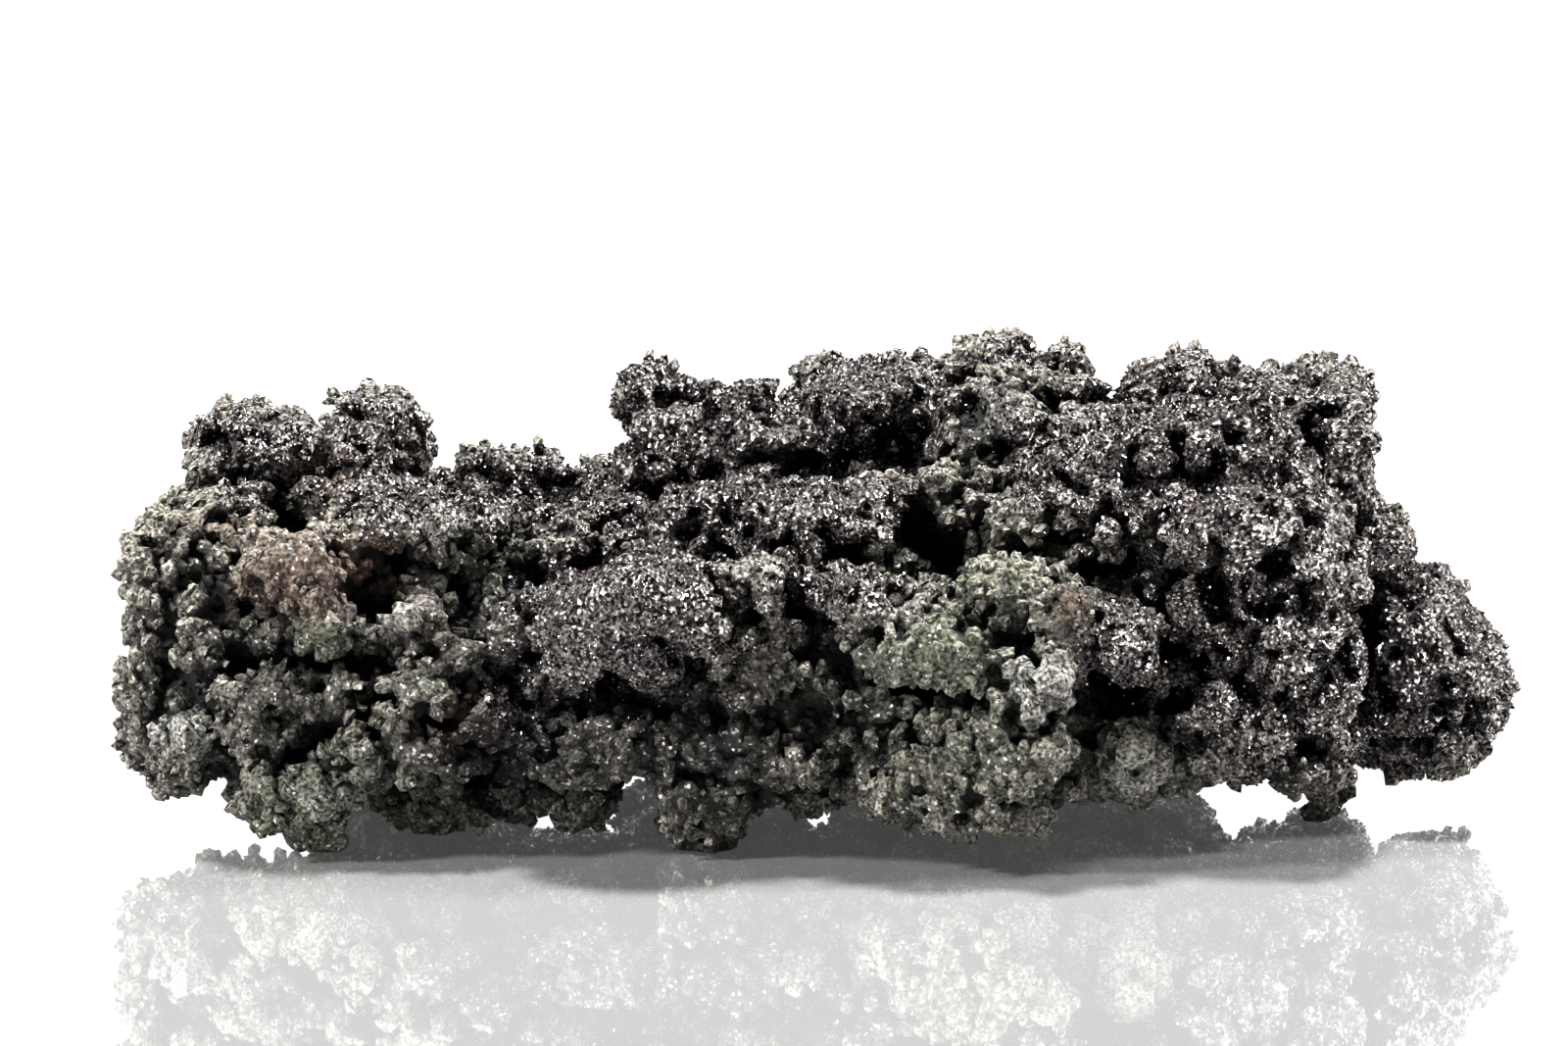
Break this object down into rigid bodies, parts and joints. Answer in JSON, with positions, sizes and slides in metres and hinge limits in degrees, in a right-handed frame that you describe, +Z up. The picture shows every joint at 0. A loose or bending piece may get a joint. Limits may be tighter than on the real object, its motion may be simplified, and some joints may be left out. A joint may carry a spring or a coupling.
{
  "type": "rheniite specimen on volcanic clinker",
  "caption": "Hand specimen of lumpy dark volcanic clinker crusted with tiny silvery rhenium sulphide crystals, with clefts, ledges and bubble pits, standing free on small feet.",
  "frame": {"origin": "middle of the underside of the specimen's box, on the plane that its feet stand on", "axes": "+X along the specimen to the right as the picture shows it, +Y away from the viewer, +Z up"},
  "size_m": [0.089, 0.0468, 0.0299],
  "materials": {
    "crystal_crusted_clinker": "rough grey-green volcanic clinker under a glittering crust of silvery, purple-tinged metallic platelets, with rust-brown and moss-green patches"
  },
  "bodies": {
    "root": {"crusted_rock": "crystal_crusted_clinker"}
  },
  "joints": []
}
